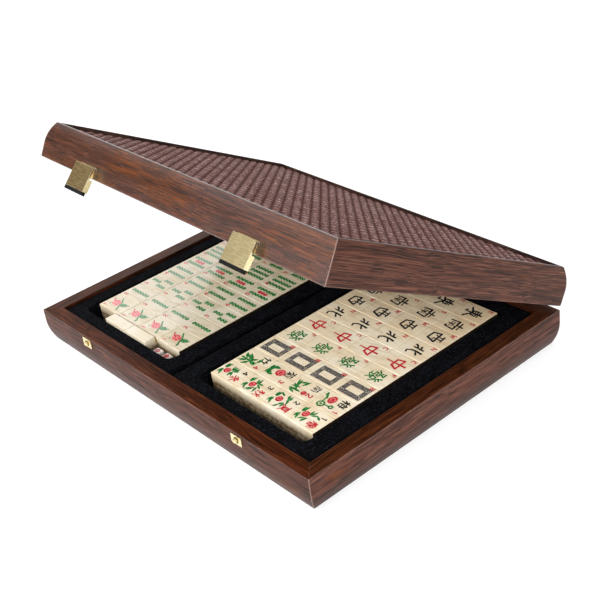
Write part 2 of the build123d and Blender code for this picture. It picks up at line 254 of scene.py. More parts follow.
def start_material(name, **shader):
    """Material with one Principled shader. Plain numbers and colours go on its sockets."""
    material = bpy.data.materials.new(name)
    material.use_nodes = True
    tree = material.node_tree
    surface = tree.nodes["Principled BSDF"]
    for label, value in shader.items():
        surface.inputs[label.replace("_", " ")].default_value = value
    place = tree.nodes.new("ShaderNodeTexCoord").outputs["Object"]
    return material, tree, surface, place


def finish(tree, surface, colour, roughness, normal=None):
    """Feed the shader with what varies over the surface."""
    tree.links.new(colour, surface.inputs["Base Color"])
    tree.links.new(roughness, surface.inputs["Roughness"])
    if normal is not None:
        tree.links.new(normal, surface.inputs["Normal"])


# Materials

def make_walnut(name, turn, tone, face_shade, warmth=-0.03, gloss=0.12, polish=0.34,
                crown=1.0, foot=1.0):
    """Lacquered dark walnut with its grain along one rail. The turn brings the grain onto X.

    Faces that look up or towards the middle of the case get painted shade in a darker tone.
    Polish is the roughness where the lacquer is smoothest. A wall's painted light runs from
    crown to foot, lighter where it looks up, darker where it looks down. Sharp edges get a
    pale painted highlight.
    """
    material, tree, surface, place = start_material(name, Specular_IOR_Level=gloss)
    level = put(tree, "ShaderNodeMapping", {
        "Vector": tree.nodes.new("ShaderNodeTexCoord").outputs["Normal"], "Rotation": turn},
        vector_type="NORMAL").outputs[0]
    place = put(tree, "ShaderNodeMapping", {"Vector": place, "Rotation": turn}).outputs[0]
    lean = put(tree, "ShaderNodeSeparateXYZ", {0: level}).outputs[2]
    upward = ramp(tree, lean, 0.75, 0.95)
    flat_place = put(tree, "ShaderNodeVectorMath", {0: place, 1: (1, 1, 0)}, operation="MULTIPLY")
    inward = ramp(tree, dot(tree, flat_place.outputs[0], level), 0.0, -0.03)
    shaded_faces = arithmetic(tree, "MAXIMUM", upward, inward)

    place = use_group(tree, wander, Vector=place)
    band = use_group(tree, streaks, Vector=place, Scale=330, Stretch=0.05, Low=0.34, High=0.66)
    line = use_group(tree, streaks, Vector=place, Scale=1250, Stretch=0.023, Low=0.43, High=0.57)
    pore = use_group(tree, streaks, Vector=place, Scale=1350, Stretch=0.027, Detail=2, Low=0.54,
                     High=0.60)
    fibre = use_group(tree, streaks, Vector=place, Scale=1050, Stretch=0.024, Detail=2, Low=0.52,
                      High=0.62)
    glow = use_group(tree, streaks, Vector=place, Scale=40, Stretch=0.36, Detail=2,
                     Low=0.58 - warmth, High=0.70 - warmth)

    dark = blend(tree, glow, (0.034, 0.013, 0.009, 1), (0.055, 0.015, 0.004, 1))
    light = blend(tree, glow, (0.115, 0.041, 0.026, 1), (0.148, 0.048, 0.015, 1))
    pale = blend(tree, glow, (0.195, 0.084, 0.058, 1), (0.205, 0.072, 0.018, 1))
    colour = blend(tree, between(tree, band, 0.22, 0.95), dark, light)
    colour = blend(tree, between(tree, fibre, 0.0, 0.45), colour, pale)
    colour = blend(tree, between(tree, line, 0.62, 0.0), colour, dark)
    colour = blend(tree, between(tree, pore, 0.0, 0.85), colour, (0.012, 0.005, 0.004, 1))
    colour = blend(tree, 1.0, colour, tone, "MULTIPLY")
    # painted light and shade: a wall is lighter where it looks up and darker where it looks down
    if crown != foot:
        painted_light_fall = between(tree, ramp(tree, lean, 0.05, -0.40), crown, foot)
        colour = scaled(tree, colour, painted_light_fall)
    # painted shade: faces that look up or inward are darkened in a given tone
    colour = blend(tree, 1.0, colour, blend(tree, shaded_faces, white, face_shade), "MULTIPLY")
    # painted highlight: a pale line along sharp edges, weaker on the shaded faces
    edge = use_group(tree, arris, Radius=1.0 * mm)
    edge_highlight = arithmetic(tree, "MULTIPLY", edge, between(tree, shaded_faces, 0.70, 0.08))
    colour = blend(tree, edge_highlight, colour, (0.38, 0.25, 0.21, 1))

    height = arithmetic(tree, "SUBTRACT", line, pore)
    normal = use_group(tree, relief, Height=height, Depth=0.02 * mm, Edge=0.4 * mm)
    finish(tree, surface, colour, between(tree, line, polish + 0.06, polish), normal)
    return material


def make_leather():
    """Semi-matt brown leather: painted highlight on crests, painted shade between the strips."""
    material, tree, surface, place = start_material("leather", Specular_IOR_Level=0.12)
    depth = put(tree, "ShaderNodeAttribute", attribute_name="relief").outputs["Fac"]
    under = put(tree, "ShaderNodeAttribute", attribute_name="under").outputs["Fac"]
    cloud = use_group(tree, speckle, Vector=place, Scale=70, Low=0.35, High=0.65)
    grain = use_group(tree, speckle, Vector=place, Scale=620, Detail=2, Low=0.44, High=0.56)
    # painted highlight on the crests and painted shade in the valleys; the crests are also
    # smoother
    rub_and_crest_light = ramp(tree, depth, 0.38, 0.95)
    crest = blend(tree, cloud, (0.31, 0.145, 0.122, 1), (0.48, 0.29, 0.26, 1))
    colour = blend(tree, rub_and_crest_light, (0.05, 0.01, 0.008, 1), crest)
    # painted shade on the cells where the cross strips lie on top
    colour = blend(tree, between(tree, under, 0.0, 0.68), colour, (0.06, 0.015, 0.012, 1))
    colour = blend(tree, between(tree, grain, 0.85, 0.0), colour, (0.05, 0.014, 0.011, 1))
    normal = use_group(tree, relief, Height=grain, Depth=0.2 * mm, Edge=0)
    finish(tree, surface, colour, between(tree, rub_and_crest_light, 0.75, 0.50), normal)
    return material


def make_flock():
    """Black flock with a fine nap and stray lighter fibres."""
    material, tree, surface, place = start_material(
        "black_flock", Specular_IOR_Level=0.08, Sheen_Weight=0.008, Sheen_Roughness=0.4,
        Sheen_Tint=(0.55, 0.62, 0.75, 1))
    nap = use_group(tree, speckle, Vector=place, Scale=900, Detail=2, Low=0.52, High=0.70)
    brushed = use_group(tree, speckle, Vector=place, Scale=120, Low=0.40, High=0.66)
    colour = blend(tree, brushed, (0.001, 0.0011, 0.0014, 1), (0.003, 0.0032, 0.0042, 1))
    colour = blend(tree, nap, colour, (0.013, 0.014, 0.02, 1))
    normal = use_group(tree, relief, Height=nap, Depth=0.3 * mm, Edge=0)
    finish(tree, surface, colour, between(tree, nap, 0.95, 0.85), normal)
    return material


def make_ivory(name, deep, clear, vein, shade_depth=8 * mm, edging=0.4):
    """Polished resin with clouds and wavy growth lines, browner along its edges and, as painted
    shade under the lid, towards the back.

    It has painted shade below the tiles' tops, and the blocks' right sides, which stand against
    the flock, are painted near black as shade.
    """
    material, tree, surface, place = start_material(
        name, Specular_IOR_Level=0.5, Coat_Weight=0.4, Coat_Roughness=0.06)
    across, deep_in, level = put(tree, "ShaderNodeSeparateXYZ", {0: place}).outputs
    cloud = use_group(tree, speckle, Vector=place, Scale=45, Detail=4, Low=0.35, High=0.66)
    drawn = use_group(tree, wander, Vector=place, Scale=40, Reach=12 * mm)
    growth = use_group(tree, streaks, Vector=drawn, Scale=330, Stretch=0.14, Low=0.48, High=0.64)
    mottle = use_group(tree, speckle, Vector=place, Scale=320, Low=0.30, High=0.70)
    edge = use_group(tree, arris, Radius=0.5 * mm)
    colour = blend(tree, cloud, deep, clear)
    colour = blend(tree, arithmetic(tree, "MULTIPLY", growth, 0.40), colour, vein)
    colour = blend(tree, between(tree, edge, 0.0, edging), colour, (0.48, 0.3, 0.1, 1))
    # painted shade: tiles turn browner towards the back, under the lid
    browner = blend(tree, 1.0, colour, (1.0, 0.88, 0.74, 1), "MULTIPLY")
    colour = blend(tree, ramp(tree, deep_in, 0.0, lid_shade_reach), colour, browner)
    sunk = ramp(tree, level, tile_top - shade_start, tile_top - shade_depth)
    shade = arithmetic(tree, "MULTIPLY", sunk, between(tree, mottle, 1.0, 0.75))
    colour = blend(tree, shade, colour, (0.11, 0.066, 0.026, 1))
    # painted shade: the blocks' right sides below the tops are painted near black
    flanks = [put(tree, "ShaderNodeMath", {0: across, 1: flank, 2: tile_rounding},
                  operation="COMPARE").outputs[0] for flank in block_flanks]
    under_top = ramp(tree, level, tile_top - 0.15 * mm, tile_top - 0.45 * mm)
    flank = arithmetic(tree, "MULTIPLY", arithmetic(tree, "MAXIMUM", *flanks), under_top)
    colour = blend(tree, flank, colour, (0.02, 0.013, 0.008, 1))
    finish(tree, surface, colour, between(tree, cloud, 0.15, 0.22))
    return material


def make_brass():
    """Satin pale brass with fine brush lines and a painted highlight along its edges."""
    material, tree, surface, place = start_material("brass", Metallic=1.0)
    lines = use_group(tree, streaks, Vector=place, Scale=2500, Stretch=0.04, Low=0.3, High=0.7)
    grain = use_group(tree, streaks, Vector=place, Scale=1100, Stretch=0.12, Low=0.4, High=0.6)
    tarnish = use_group(tree, speckle, Vector=place, Scale=160, Low=0.40, High=0.70)
    edge = use_group(tree, arris, Radius=0.5 * mm)
    colour = blend(tree, tarnish, (0.96, 0.83, 0.48, 1), (0.89, 0.75, 0.41, 1))
    colour = blend(tree, between(tree, grain, 0.0, 0.5), colour, (0.65, 0.52, 0.26, 1))
    # painted highlight: a pale cream colour along the edges
    colour = blend(tree, edge, colour, (0.99, 0.91, 0.68, 1))
    normal = use_group(tree, relief, Height=lines, Depth=0.002 * mm, Edge=0.35 * mm)
    finish(tree, surface, colour, between(tree, lines, 0.20, 0.26), normal)
    return material


def make_pad():
    """Matt black strip under a clasp."""
    material, tree, surface, place = start_material("pad", Specular_IOR_Level=0.2)
    grain = use_group(tree, speckle, Vector=place, Scale=1400)
    colour = blend(tree, grain, (0.003, 0.003, 0.003, 1), (0.01, 0.01, 0.009, 1))
    normal = use_group(tree, relief, Height=grain, Depth=0.05 * mm, Edge=0.5 * mm)
    finish(tree, surface, colour, between(tree, grain, 0.6, 0.75), normal)
    return material


def make_two_tone(name, first, second, roughness, effect, values, **shader):
    """Finish of two tones that lie side by side as the effect gives, each with its roughness."""
    material, tree, surface, place = start_material(name, **shader)
    mask = use_group(tree, effect, Vector=place, **values)
    finish(tree, surface, blend(tree, mask, first, second), between(tree, mask, *roughness))
    return material


def make_ink(name, thin, thick):
    """Paint in the tiles' marks, thinner in places."""
    cover = {"Scale": 700, "Detail": 2, "Low": 0.36, "High": 0.60}
    return make_two_tone(name, thin, thick, (0.30, 0.20), speckle, cover,
                         Specular_IOR_Level=1.0, Coat_Weight=0.8, Coat_Roughness=0.06)


lid_joint = joints["lid_hinge"]
opening = radians(-lid_joint["range_deg"][0])
hinge = Vector(lid_joint["pos_m"])
open_lid = (Matrix.Translation(hinge) @ Matrix.Rotation(opening, 4, lid_joint["axis"])
            @ Matrix.Translation(-hinge))
shut_lid = open_lid.inverted()

# Tones of the painted shade on faces that look up or inward
orange_face_shade = (0.82, 0.56, 0.31, 1)
side_face_shade = (0.55, 0.42, 0.24, 1)
grey_face_shade = (0.5, 0.66, 0.78, 1)
# The rails' tones differ copy by copy, the lid's front darker and warmer, to suit the light on
# each side: painted light and shade.
walnut_long = make_walnut(
    "walnut_long", (0, 0, 0), (0.95, 0.94, 0.94, 1), orange_face_shade, warmth=-0.07, gloss=0.07)
walnut_side = make_walnut(
    "walnut_side", (0, 0, pi / 2), (0.97, 0.95, 0.93, 1), side_face_shade, warmth=-0.07, gloss=0.11,
    crown=1.38, foot=0.72)
walnut_lid_front = make_walnut(
    "walnut_lid_front", (opening, 0, 0), (0.84, 0.69, 0.58, 1), grey_face_shade, warmth=0.08,
    gloss=1.0, polish=0.18)
walnut_lid_long = make_walnut(
    "walnut_lid_long", (opening, 0, 0), (1.0, 0.95, 0.95, 1), grey_face_shade)
walnut_lid_side = make_walnut(
    "walnut_lid_side", (opening, 0, pi / 2), (1.07, 1.07, 1.04, 1), grey_face_shade)
leather = make_leather()
flock = make_flock()
tile_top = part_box("flower_tiles")[1].z
block_flanks = [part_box(name)[1].x for name in ("bamboo_1_tiles", "flower_tiles")]
ivory = make_ivory("ivory", (0.825, 0.69, 0.48, 1), (0.87, 0.78, 0.61, 1),
                   (0.6, 0.43, 0.24, 1))
# The left tray's tiles are darker copies of the ivory, for the stronger light on that side:
# painted shade.
shaded_left_ivory = make_ivory("shaded_left_ivory", (0.665, 0.575, 0.41, 1), (0.725, 0.65, 0.51, 1),
                        (0.5, 0.37, 0.22, 1))
# The blanks' edges are fully browned, painted shade of the gaps beside them.
shaded_spare_ivory = make_ivory("shaded_spare_ivory", (0.68, 0.595, 0.44, 1), (0.74, 0.67, 0.54, 1),
                         (0.6, 0.43, 0.24, 1), edging=1.0)
dice_white = make_ivory("dice_white", (0.82, 0.74, 0.68, 1), (0.88, 0.82, 0.78, 1),
                        (0.74, 0.62, 0.54, 1), shade_depth=16 * mm, edging=0.0)
black_ink = make_ink("black_ink", (0.03, 0.031, 0.035, 1), (0.006, 0.007, 0.008, 1))
grey_ink = make_ink("grey_ink", (0.08, 0.08, 0.095, 1), (0.03, 0.03, 0.037, 1))
green_ink = make_ink("green_ink", (0.05, 0.28, 0.07, 1), (0.012, 0.13, 0.028, 1))
pale_ink = make_ink("pale_ink", (0.3, 0.5, 0.23, 1), (0.2, 0.4, 0.15, 1))
# paint for the painted shade line along the blank tiles
amber_shade_paint = make_ink("amber_shade_paint", (0.42, 0.27, 0.07, 1), (0.2, 0.12, 0.025, 1))
pink_ink = make_ink("pink_ink", (0.83, 0.3, 0.27, 1), (0.7, 0.11, 0.13, 1))
red_ink = make_ink("red_ink", (0.68, 0.06, 0.07, 1), (0.52, 0.012, 0.026, 1))
pip_red = make_ink("pip_red", (0.42, 0.006, 0.018, 1), (0.3, 0.003, 0.01, 1))
brass = make_brass()
# near-black brass for the painted shadow round each stud
shadow_brass = make_two_tone(
    "shadow_brass", (0.16, 0.12, 0.035, 1), (0.07, 0.05, 0.015, 1), (0.25, 0.45), speckle,
    {"Scale": 900, "Low": 0.40, "High": 0.60}, Metallic=1.0)
steel = make_two_tone(
    "steel", (0.5, 0.48, 0.45, 1), (0.62, 0.6, 0.57, 1), (0.28, 0.38), streaks,
    {"Scale": 2500, "Stretch": 0.03}, Metallic=1.0)
pad = make_pad()


def dress(material, *names):
    for name in names:
        for slot in nodes[name].material_slots:
            slot.material = material


dress(walnut_long, "base_front_rail", "base_back_rail", "base_floor")
dress(walnut_lid_front, "lid_front_rail")
dress(walnut_lid_long, "lid_back_rail", "lid_board")
dress(walnut_side, "base_left_rail", "base_right_rail")
dress(walnut_lid_side, "lid_left_rail", "lid_right_rail")
dress(flock, "tray_left", "tray_right", "lid_lining")
for side in ("left", "right"):
    dress(brass, "hinge_base_leaf_" + side, "hinge_lid_leaf_" + side, "strike_plate_" + side,
          "clasp_bracket_" + side, "clasp_flap_" + side, "strike_stud_" + side)
    dress(steel, "hinge_pin_" + side, "clasp_pin_" + side)
    dress(pad, "clasp_pad_" + side)
dress(brass, "hinge_base_screws", "hinge_lid_screws")


# Mesh helpers

def make_mesh(name, points, faces):
    mesh = bpy.data.meshes.new(name)
    mesh.from_pydata(points, [], faces)
    return mesh


def new_piece(name, mesh, body, slot, material, *replaced):
    """Put a finished mesh on its body."""
    piece = bpy.data.objects.new(name, mesh)
    bpy.context.scene.collection.objects.link(piece)
    mesh.materials.append(material)
    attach(piece, body)
    if replaced:
        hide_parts(*replaced)


def rounded_block(size, segments):
    """Block with rounded edges and its lowest corner at the origin."""
    shape = bmesh.new()
    bmesh.ops.create_cube(shape, size=1.0)
    for vertex in shape.verts:
        vertex.co = Vector((vertex.co[axis] + 0.5) * size[axis] for axis in range(3))
    bmesh.ops.bevel(shape, geom=shape.edges[:], offset=tile_rounding, segments=segments,
                    profile=0.5, affect="EDGES")
    return shape


def copies(shape, corners):
    """One mesh with a copy of the shape at each corner. Its broad faces stay flat."""
    points = [corner + vertex.co for corner in corners for vertex in shape.verts]
    faces = [[index * len(shape.verts) + vertex.index for vertex in face.verts]
             for index in range(len(corners)) for face in shape.faces]
    narrow = [face.calc_area() < broad_face for face in shape.faces] * len(corners)
    mesh = make_mesh("copies", points, faces)
    mesh.polygons.foreach_set("use_smooth", narrow)
    return mesh


# Tiles and dice

tiles_across = 4
tiles_deep = 9
bamboo_rows = ["bamboo_" + str(number) + "_tiles" for number in range(1, tiles_deep + 1)]
honour_rows = [name + "_tiles" for name in (
    "flower", "season", "white_dragon", "green_dragon", "red_dragon",
    "north", "west", "south", "east")]

first_low, first_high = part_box(bamboo_rows[0])
second_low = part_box(bamboo_rows[1])[0]
tile_width = first_high.y - first_low.y
tile_gap = second_low.y - first_low.y - tile_width
tile_pitch = (first_high.x - first_low.x + tile_gap) / tiles_across
tile_length = tile_pitch - tile_gap
tile_thickness = first_high.z - first_low.z


def round_tiles(name, body, material, size, steps, segments=3):
    """Rounded tiles in place of a node's plain ones, a step each from its lowest corner."""
    corners = [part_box(name)[0] + Vector(step) for step in steps]
    mesh = copies(rounded_block(size, segments), corners)
    new_piece("rounded_" + name, mesh, body, "tile_ivory", material, name)


lying = (tile_length, tile_width, tile_thickness)
on_edge = (tile_length, tile_thickness, tile_width)
row_steps = [(across * tile_pitch, 0, 0) for across in range(tiles_across)]
layer_steps = [(x, deep * (tile_width + tile_gap), 0)
               for x, y, z in row_steps for deep in range(tiles_deep)]

for row in bamboo_rows:
    round_tiles(row, "tray_left", shaded_left_ivory, lying, row_steps)
for row in honour_rows:
    round_tiles(row, "tray_right", ivory, lying, row_steps)
for side in ("left", "right"):
    round_tiles("lower_tiles_" + side, "tray_" + side, ivory, lying, layer_steps, segments=2)
round_tiles("blank_tiles", "tray_left", shaded_spare_ivory, on_edge, row_steps[:blank_count])
dress(dice_white, "dice")


# Drawing of the tiles' marks, in millimetres on an upright tile with its centre at zero

def stroke(*points, width, taper=0.75):
    """Brush stroke along points, a little thinner at its end."""
    shapes = []
    overrun = 0.5    # each piece runs on by this share of its half width
    count = len(points) - 1
    for index in range(count):
        (x0, y0), (x1, y1) = points[index], points[index + 1]
        length = hypot(x1 - x0, y1 - y0)
        i, j = (x1 - x0) / length, (y1 - y0) / length
        start = width / 2 * (1 + (taper - 1) * index / count)
        end = width / 2 * (1 + (taper - 1) * (index + 1) / count)
        x0, y0 = x0 - i * start * overrun, y0 - j * start * overrun
        x1, y1 = x1 + i * end * overrun, y1 + j * end * overrun
        shapes.append([(x0 - j * start, y0 + i * start), (x0 + j * start, y0 - i * start),
                       (x1 + j * end, y1 - i * end), (x1 - j * end, y1 + i * end)])
    return shapes


def brush(width, *lines):
    """Strokes of one width. A line gives the x and y of its points by turns."""
    return [shape for line in lines
            for shape in stroke(*zip(line[::2], line[1::2]), width=width)]


def loop(*points, width):
    return stroke(*points, points[0], width=width, taper=1.0)


def oval(x, y, width, height, turn=0.0, sides=12):
    shape = []
    for index in range(sides):
        angle = tau * index / sides
        a, b = width / 2 * cos(angle), height / 2 * sin(angle)
        shape.append((x + a * cos(turn) - b * sin(turn), y + a * sin(turn) + b * cos(turn)))
    return [shape]


def ring(x, y, across, high, width):
    return loop(*oval(x, y, across, high, sides=9)[0], width=width)


def leaf(x, y, length, width, way):
    """Pointed leaf that starts at a point and runs off at an angle in degrees."""
    steps = 5
    turn = radians(way)
    edge = []
    for side in (1, -1):
        for index in range(steps):
            share = index / steps if side > 0 else 1 - index / steps
            a, b = length * share, side * width / 2 * sin(pi * share)
            edge.append((x + a * cos(turn) - b * sin(turn), y + a * sin(turn) + b * cos(turn)))
    return [edge]


def leaves(length, width, *spots):
    """Leaves of one size, each with its foot and the way that it points."""
    return [shape for x, y, way in spots for shape in leaf(x, y, length, width, way)]


def moved(shapes, x, y, size=1.0):
    return [[(x + a * size, y + b * size) for a, b in shape] for shape in shapes]


def together(*drawings):
    """One drawing from several, ink by ink."""
    marks = {}
    for drawing in drawings:
        for ink, shapes in drawing.items():
            marks[ink] = marks.get(ink, []) + shapes
    return marks


def bamboo_stick(ink, x, y, length=stick_length, turn=0):
    """Stick of three knobs, each with a light slit."""
    knobs, slits = [], []
    knob = length / 3
    for index in (-1, 0, 1):
        a, b = x - index * knob * sin(radians(turn)), y + index * knob * cos(radians(turn))
        knobs += oval(a, b, stick_width, knob * 1.04, radians(turn), 10)
        slits += oval(a, b, stick_width * 0.55, 0.75, radians(turn + 20), 6)
    return {ink: knobs, "pale" if ink == "green" else "pink": slits}


def bloom(x, y, across, high):
    """Open flower with a red rim and centre."""
    red = ring(x, y, across * 0.82, high * 0.82, 1.2) + oval(x, y, across * 0.34, high * 0.34)
    return {"pink": oval(x, y, across, high, sides=9), "red": red}


letter_lines = {
    "1": [(-0.7, 1.3, 0.2, 2, 0.2, -2)],
    "2": [(-1.3, 1.2, -0.4, 2, 0.9, 1.6, 1, 0.5, -1.3, -1.9, 1.4, -1.9)],
    "3": [(-1.2, 1.7, 0.5, 1.9, 1.1, 1, 0, 0.1, 1.2, -0.8, 0.5, -1.8, -1.3, -1.7)],
    "4": [(0.7, -2, 0.7, 2, -1.4, -0.8, 1.5, -0.8)],
    "5": [(1.2, 1.9, -1, 1.9, -1.1, 0.3, 0.6, 0.4, 1.1, -0.8, 0.4, -1.8, -1.3, -1.7)],
    "6": [(0.9, 1.9, -0.9, 0.5, -1.1, -1.2, 0, -1.9, 1.1, -1.1, 0.6, 0, -0.9, -0.3)],
    "7": [(-1.3, 1.9, 1.3, 1.9, -0.2, -2)],
    "8": [(0, 0.1, 1, 1, 0, 1.9, -1, 1, 0, 0.1, 1.2, -0.9, 0, -1.9, -1.2, -0.9, 0, 0.1)],
    "9": [(-0.7, -1.9, 0.9, -0.6, 1.1, 1.1, 0.1, 1.9, -1.1, 1.1, -0.5, 0.1, 0.9, 0.4)],
    "N": [(-1.4, -1.9, -1.4, 1.9, 1.4, -1.9, 1.4, 1.9)],
    "W": [(-1.9, 1.9, -1, -1.9, 0, 1.2, 1, -1.9, 1.9, 1.9)],
    "S": [(1.2, 1.5, 0, 2, -1.1, 1.2, 1.1, -0.8, 0.2, -1.9, -1.3, -1.4)],
    "E": [(1.3, 1.9, -1.1, 1.9, -1.1, -1.9, 1.4, -1.9), (-1.1, 0.1, 1, 0.1)],
    "C": [(1.3, 1.4, 0, 2, -1.2, 0.9, -1.2, -0.9, 0, -2, 1.3, -1.4)],
    "F": [(1.3, 1.9, -1.1, 1.9, -1.1, -2), (-1.1, 0.1, 0.9, 0.1)],
    "B": [(-1.1, -1.9, -1.1, 1.9, 0.7, 1.7, 0.8, 0.4, -1.1, 0.1),
          (0.2, 0.1, 1.1, -0.6, 0.9, -1.7, -1.1, -1.9)],
}
letters = {sign: brush(letter_width, *lines) for sign, lines in letter_lines.items()}

north = (
    brush(1.9, (-1.4, 5.4, -1.8, -4.8), (2.8, 7.2, 2, 1, 2.6, -3.8, 4.6, -6.6, 7.2, -5.4))
    + brush(1.7, (-5.6, -5.2, -4.2, -2.6, -1.8, -0.8), (-5, 1, -1.6, 2.6), (6.4, 4.2, 2.6, 0.8)))
west = (
    brush(1.8, (-3, 6, 4, 7))
    + loop((-5.4, 0.8), (-3.6, -6), (4, -6), (6.6, 2.2), width=1.8)
    + brush(1.4, (-0.7, 6.4, -1, 1.4, -2.2, -1.8), (2, 6.4, 2, -1, 3.8, -1.6)))
south = (
    brush(1.8, (0.9, 7.8, 0.3, 2.4), (-4.8, 0.8, -4.2, -7.6),
          (-4.8, 0.8, 6.6, 2.2, 5.4, -7, 3.6, -6.4))
    + brush(1.6, (-4, 4, 5.4, 5.2), (0.6, -1.6, 0.5, -7.2))
    + brush(1.2, (-2.4, 0.4, -1.2, -1.4), (3, 1.2, 2, -0.8), (-2.4, -2.6, 3.4, -2.2),
            (-2.8, -4.8, 3.6, -4.4)))
east = (
    brush(1.9, (1, 8, 0.9, -8.4), (0.2, -1.6, -6, -6.4), (-1.2, -7.6, 1, -8.8))
    + brush(1.6, (-3.4, 4.8, 4.6, 5.4))
    + loop((-2.8, 2.8), (-2.2, -1.6), (3.6, -1.4), (4.2, 3.2), width=1.5)
    + brush(1.2, (-2.4, 0.6, 3.8, 0.9))
    + stroke((1.4, -1.8), (7.8, -5.8), width=1.6, taper=1.5))
red_dragon = (
    loop((-4.8, 4.4), (-3.2, -1.6), (4.6, -1.4), (7.2, 4.8), width=1.8)
    + stroke((1.3, 10), (1.1, -9.2), width=1.9, taper=0.6))
green_dragon = (
    brush(1.6, (-5.4, 5.6, -1.4, 6, -3, 2.6, -7, -1.6), (1.2, 7.6, 2.8, 3.8, 7.6, -1.8))
    + brush(1.4, (-4.8, 3.8, -3, 2.4), (4.4, 6.6, 2.6, 4.8), (6.2, 4.8, 4, 3),
            (-3.6, 1.4, -0.2, 1.6, -0.6, -0.6, -3.8, -0.8, -4.4, -3, -0.2, -2.8, -1, -6.6,
             -3.2, -6.2),
            (1.4, -1.2, 1.8, 1.4, 4.4, 1.4, 4.8, -0.8), (0.6, -2.4, 4.8, -2.2, 0, -7),
            (1.4, -3.2, 5, -7)))

characters = {
    "spring": brush(
        1.1, (-2.8, 3.2, 2.8, 3.4), (-3.2, 1.9, 3.2, 2.1), (-3.8, 0.6, 3.8, 0.8),
        (0.2, 4.2, -3.8, -2.2), (0.6, 0.8, 4, -2),
        (-1.5, -0.8, 1.5, -0.8, 1.5, -4, -1.5, -4, -1.5, -0.8), (-1.5, -2.4, 1.5, -2.4)),
    "summer": brush(
        1.1, (-3.6, 3.8, 3.6, 3.8), (-2, 2.6, 2, 2.6, 2, -0.4, -2, -0.4, -2, 2.6),
        (-2, 1.1, 2, 1.1), (-1, -0.6, -3.6, -3), (-1.6, -1.6, 2.2, -1.6, -3.4, -4.2),
        (-0.8, -2.2, 3.8, -4.2)),
    "autumn": brush(
        1.1, (-3.8, 2.6, -0.4, 2.8), (-2, 4, -2, -4), (-2, 2.4, -4, -0.8), (-2, 1.4, -0.6, 0),
        (0.6, 2, 1.2, 0.6), (3.8, 2.2, 3, 0.6), (2.2, 3.6, 2, 0, 0.2, -3.8), (2.2, 0, 4, -3.8)),
    "winter": brush(
        1.2, (-0.6, 4.2, -3.6, 0.8), (-1.4, 2.6, 2.4, 2.6, -3.8, -2), (-1.6, 1.4, 4, -1.8),
        (-0.8, -1.2, 0.8, -2.2), (-1.4, -3, 1.4, -4.2)),
    "bamboo": brush(
        1.3, (-2.2, 4, -4, 1), (-2.8, 2.2, -0.4, 2.4), (-1.8, 2.2, -2.4, -3.8), (1.4, 4, 0, 1.2),
        (0.8, 2.2, 4, 2.6), (2.6, 2.2, 2.4, -3.4, 1.2, -3)),
    "aster": brush(
        1.1, (-3.6, 3.4, 3.6, 3.6), (-1.4, 4.4, -1.4, 2.6), (1.4, 4.4, 1.4, 2.6),
        (-1.8, 2.2, -3.8, -0.4), (-2.6, 1.2, 3.4, 1.4, 3.2, -4, 1.8, -3.4), (-2.2, -1, 2, -0.8),
        (-0.2, 0.8, -0.2, -3.8), (-0.4, -1.2, -2.4, -3.4), (0, -1.2, 2, -3.2)),
    "orchid": brush(
        0.9, (-3.2, 2.8, 3.2, 2.8), (-1.2, 3.6, -1.2, 2.2), (1.2, 3.6, 1.2, 2.2),
        (-3, 1.2, -3, -3.2), (3, 1.2, 3, -3.2), (-3, 1, -0.8, 1.2), (0.8, 1.2, 3, 1),
        (-1.8, -0.6, 1.8, -0.6), (0, 0.6, 0, -3.2), (-1.4, -2, 1.4, -2)),
    "plum": brush(
        1.3, (-4.2, 1.8, -0.8, 2), (-2.4, 4, -2.4, -4), (-2.4, 1.6, -4.2, -1.6),
        (-2.2, 1, -1, -0.6), (1.2, 4.2, -0.4, 2.2), (0.6, 3, 4.2, 3.2),
        (0.6, 1.6, 3.6, 1.8, 3.2, -3.2, 0, -3, 0.6, 1.6), (-0.6, -0.6, 4.4, -0.4)),
}


def white_dragon():
    """Broad frame woven of four lines with rungs across them."""
    x, y = 0.8, 0.6
    inner_x, inner_y, pitch, lines = 3.7, 7.4, 1.25, 4
    reach = (lines - 1) * pitch
    shapes = []
    for index in range(lines):
        a, b = inner_x + index * pitch, inner_y + index * pitch
        shapes += loop((x - a, y - b), (x + a, y - b), (x + a, y + b), (x - a, y + b), width=0.8)
    for side in (-1, 1):
        for index in range(-8, 9):
            level = y + index * pitch
            shapes += stroke((x + side * inner_x, level), (x + side * (inner_x + reach), level),
                             width=0.75, taper=1)
        for index in range(-2, 3):
            place = x + index * pitch
            shapes += stroke((place, y + side * inner_y), (place, y + side * (inner_y + reach)),
                             width=0.75, taper=1)
    return shapes


